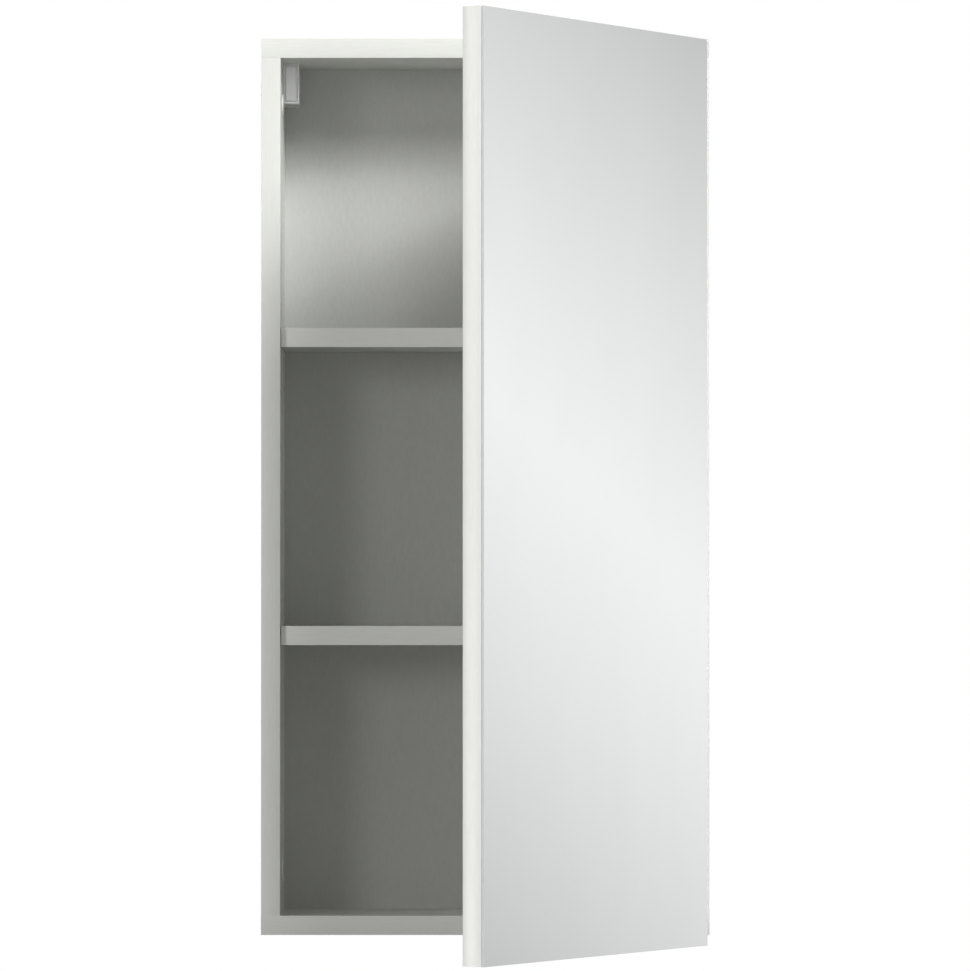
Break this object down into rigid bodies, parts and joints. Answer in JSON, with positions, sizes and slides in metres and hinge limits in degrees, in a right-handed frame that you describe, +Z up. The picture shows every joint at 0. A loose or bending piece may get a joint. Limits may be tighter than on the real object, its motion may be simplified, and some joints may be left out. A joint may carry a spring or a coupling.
{
  "type": "medicine cabinet with mirror",
  "caption": "Shallow white wall cabinet with a full-height mirrored door on concealed hinges, open shelves inside and adjustable hangers.",
  "frame": {"origin": "middle of the lower rear edge of the carcass, on the wall face", "axes": "+X to the right seen from the front, +Y towards the wall, +Z up"},
  "size_m": [0.35, 0.4421, 0.7075],
  "materials": {
    "white_board": "satin melamine-faced chipboard",
    "inner_board": "satin melamine-faced board",
    "white_edge": "satin ABS edging",
    "beech": "plain beech",
    "mirror": "silvered float glass",
    "adhesive": "adhesive film",
    "bumper": "soft pad",
    "hanger_plastic": "moulded plastic",
    "nickel_steel": "nickel-plated pressed steel",
    "zinc_steel": "zinc-plated steel"
  },
  "bodies": {
    "cabinet": {"side_panel_left": "white_board", "side_panel_right": "white_board", "top_panel": "white_board", "bottom_panel": "white_board", "back_panel": "inner_board", "edge_strip_left": "white_edge", "edge_strip_right": "white_edge", "edge_strip_top": "white_edge", "edge_strip_bottom": "white_edge", "shelf_lower": "inner_board", "shelf_upper": "inner_board", "shelf_strip_lower": "white_edge", "shelf_strip_upper": "white_edge", "shelf_pins": "nickel_steel", "dowels": "beech", "cam_bolts": "nickel_steel", "cam_locks": "nickel_steel", "cam_covers": "white_edge", "hanger_housing_left": "hanger_plastic", "hanger_housing_right": "hanger_plastic", "hanger_cover_left": "hanger_plastic", "hanger_cover_right": "hanger_plastic", "hanger_pegs": "hanger_plastic", "hinge_plate_lower": "nickel_steel", "hinge_plate_upper": "nickel_steel", "hinge_plate_screws": "nickel_steel", "hinge_arm_lower": "nickel_steel", "hinge_arm_upper": "nickel_steel", "hinge_arm_screws": "zinc_steel", "hinge_arm_pins": "zinc_steel"},
    "door": {"door_board": "white_board", "door_strip_left": "white_edge", "door_strip_right": "white_edge", "door_strip_top": "white_edge", "door_strip_bottom": "white_edge", "mirror_film": "adhesive", "mirror_glass": "mirror", "hinge_cup_lower": "nickel_steel", "hinge_cup_upper": "nickel_steel", "hinge_cup_screws": "zinc_steel", "hinge_cup_pins": "zinc_steel", "bumpers": "bumper"},
    "outer_links": {"outer_link_lower": "nickel_steel", "outer_link_upper": "nickel_steel"},
    "inner_links": {"inner_link_lower": "nickel_steel", "inner_link_upper": "nickel_steel"},
    "hanger_left": {"hanger_hook_left": "nickel_steel", "wall_plate_left": "nickel_steel"},
    "hanger_right": {"hanger_hook_right": "nickel_steel", "wall_plate_right": "nickel_steel"},
    "height_screw_left": {"height_screw_left": "zinc_steel"},
    "height_screw_right": {"height_screw_right": "zinc_steel"}
  },
  "joints": [
    {"name": "outer_link_swing", "type": "hinge", "parent": "cabinet", "child": "outer_links", "pos_m": [0.13, -0.1204, 0.35], "axis": [0, 0, 1], "range_deg": [-12.05, 24.05]},
    {"name": "door_swing", "type": "hinge", "parent": "outer_links", "child": "door", "pos_m": [0.15218, -0.14483, 0.35], "axis": [0, 0, 1], "range_deg": [-84, 42]},
    {"name": "inner_link_swing", "type": "hinge", "parent": "cabinet", "child": "inner_links", "pos_m": [0.1404, -0.1374, 0.35], "axis": [0, 0, 1], "range_deg": [-19.25, 38.45]},
    {"name": "hanger_height_left", "type": "slide", "parent": "cabinet", "child": "hanger_left", "axis": [0, 0, 1], "range_m": [-0.005, 0.005]},
    {"name": "height_screw_turn_left", "type": "hinge", "parent": "cabinet", "child": "height_screw_left", "pos_m": [-0.1529, -0.0332, 0.665], "axis": [0, 0, 1], "range_deg": [-1800.5, 1800.5]},
    {"name": "hanger_height_right", "type": "slide", "parent": "cabinet", "child": "hanger_right", "axis": [0, 0, 1], "range_m": [-0.005, 0.005]},
    {"name": "height_screw_turn_right", "type": "hinge", "parent": "cabinet", "child": "height_screw_right", "pos_m": [0.1529, -0.0332, 0.665], "axis": [0, 0, 1], "range_deg": [-1800.5, 1800.5]}
  ],
  "couplings": [
    {"joint": "outer_link_swing", "follows": "door_swing", "ratio": -0.28571},
    {"joint": "inner_link_swing", "follows": "door_swing", "ratio": -0.45714},
    {"joint": "height_screw_turn_left", "follows": "hanger_height_left", "rad_per_m": 6283.2},
    {"joint": "height_screw_turn_right", "follows": "hanger_height_right", "rad_per_m": 6283.2}
  ]
}
